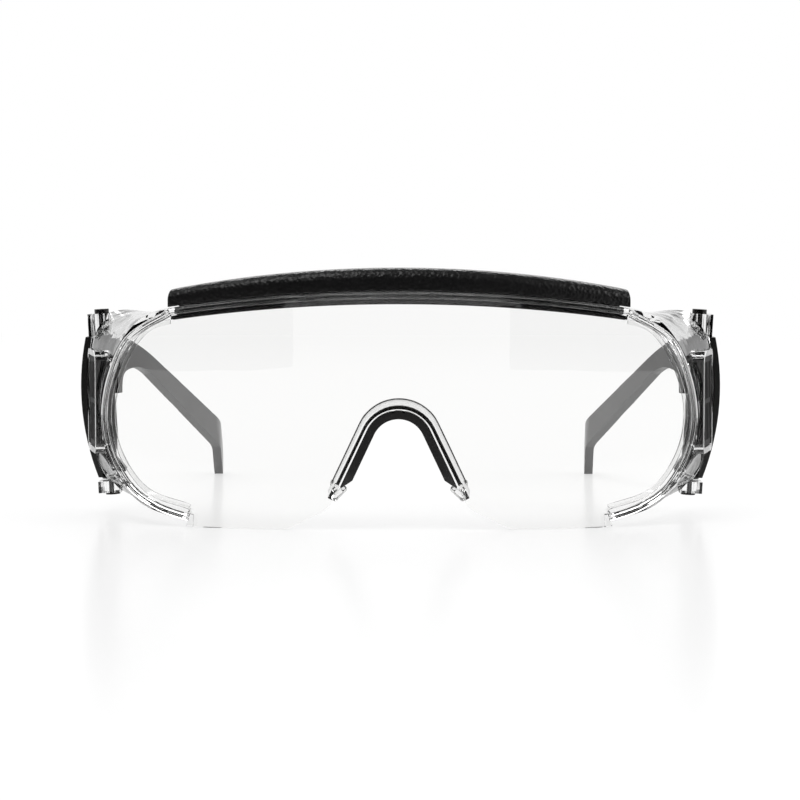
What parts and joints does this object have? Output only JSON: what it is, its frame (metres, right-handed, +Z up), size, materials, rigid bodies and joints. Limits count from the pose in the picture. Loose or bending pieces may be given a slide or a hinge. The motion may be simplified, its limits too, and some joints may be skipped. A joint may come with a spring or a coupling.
{
  "type": "over-the-glasses safety spectacles",
  "caption": "Clear wrap-around eyewear worn over spectacles, with a soft brow bar, splayed nose flange, vented side shields and folding black temples.",
  "frame": {"origin": "middle of the footprint, on the surface that the open spectacles stand on", "axes": "+X across to the viewer's right seen from the front, +Y from the lens back to the temple tips, +Z up"},
  "size_m": [0.1682, 0.153, 0.065],
  "materials": {
    "clear_lens": "clear, polished",
    "clear_frame": "clear, moulded",
    "soft_black": "fine leather grain",
    "soft_pad": "smooth, soft",
    "temple_black": "satin",
    "vent_black": "satin",
    "pin_black": "satin"
  },
  "bodies": {
    "front": {"lens": "clear_lens", "frame": "clear_frame", "brow_bar": "soft_black", "nose_pad": "soft_pad", "vent_cover_left": "vent_black", "vent_cover_right": "vent_black", "vent_louvre_left": "vent_black", "vent_louvre_right": "vent_black", "hinge_pin_left": "pin_black", "hinge_pin_right": "pin_black", "lower_pin_left": "pin_black", "lower_pin_right": "pin_black"},
    "temple_left": {"temple_left": "temple_black"},
    "temple_right": {"temple_right": "temple_black"}
  },
  "joints": [
    {"name": "temple_left_fold", "type": "hinge", "parent": "front", "child": "temple_left", "pos_m": [-0.0763, -0.0285, 0.0082], "axis": [0.0565, 0, -0.9984], "range_deg": [0, 88]},
    {"name": "temple_right_fold", "type": "hinge", "parent": "front", "child": "temple_right", "pos_m": [0.0763, -0.0285, 0.0082], "axis": [0.0565, 0, 0.9984], "range_deg": [0, 76]}
  ]
}
